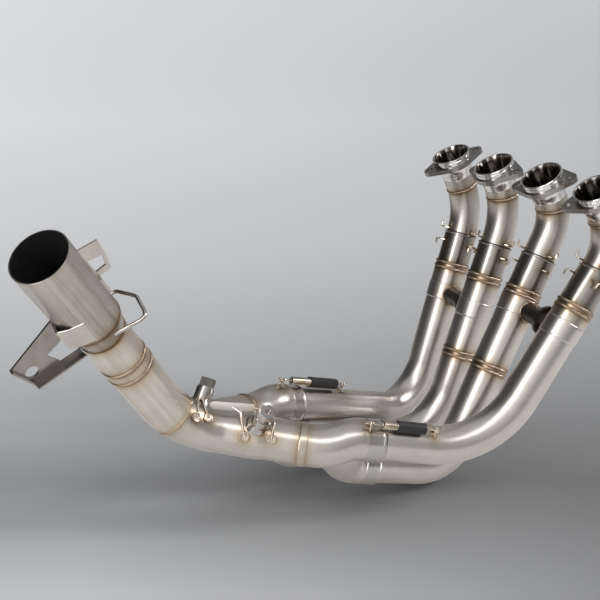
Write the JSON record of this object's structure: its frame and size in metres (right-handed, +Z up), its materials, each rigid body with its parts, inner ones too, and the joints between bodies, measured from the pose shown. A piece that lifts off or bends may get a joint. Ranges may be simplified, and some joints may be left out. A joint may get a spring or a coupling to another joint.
{
  "type": "motorcycle exhaust header",
  "caption": "Inline-engine exhaust header in bare metal: bent primary pipes merge through slip-jointed collectors into one wide outlet pipe with brackets.",
  "frame": {"origin": "middle of the face of port 1, the port at the row's far left end", "axes": "+X runs along the row of ports from port 1 to port 4, +Y points forward, away from the outlet, and +Z is up as in the picture"},
  "size_m": [0.3202, 0.6837, 0.3838],
  "materials": {
    "tube": "satin, brushed lightly, straw tint at the welds",
    "machined": "fine turned",
    "polished": "polished turned steel",
    "balance": "dark, heat stained",
    "wire": "bright wire",
    "rubber": "matt black"
  },
  "bodies": {
    "root": {"balance_clamp_12": "balance", "balance_clamp_34": "balance", "balance_tube_12": "balance", "balance_tube_34": "balance", "elbow_pipe": "tube", "end_pipe": "tube", "far_collector": "tube", "guard_bracket": "tube", "guide_ring": "wire", "hanger_bracket": "tube", "main_collector": "tube", "mid_pipe": "tube", "near_collector": "tube", "port_collar_1": "polished", "port_collar_2": "polished", "port_collar_3": "polished", "port_collar_4": "polished", "port_flange_1": "tube", "port_flange_2": "tube", "port_flange_3": "tube", "port_flange_4": "tube", "primary_pipe_1": "tube", "primary_pipe_2": "tube", "primary_pipe_3": "tube", "primary_pipe_4": "tube", "reducer": "tube", "sensor_boss_front": "tube", "sensor_boss_rear": "tube", "sensor_plug_front": "wire", "sensor_plug_rear": "wire", "slip_sleeve_1": "machined", "slip_sleeve_2": "machined", "slip_sleeve_3": "machined", "slip_sleeve_4": "machined", "spring_far": "wire", "spring_hook_far_front": "wire", "spring_hook_far_rear": "wire", "spring_hook_near_front": "wire", "spring_hook_near_rear": "wire", "spring_near": "wire", "spring_rubber_far": "rubber", "spring_rubber_near": "rubber", "strap_bracket": "tube", "stub_tube_1": "tube", "stub_tube_2": "tube", "stub_tube_3": "tube", "stub_tube_4": "tube", "upper_hooks_1": "wire", "upper_hooks_2": "wire", "upper_hooks_3": "wire", "upper_hooks_4": "wire", "wire_loop": "wire"}
  },
  "joints": []
}
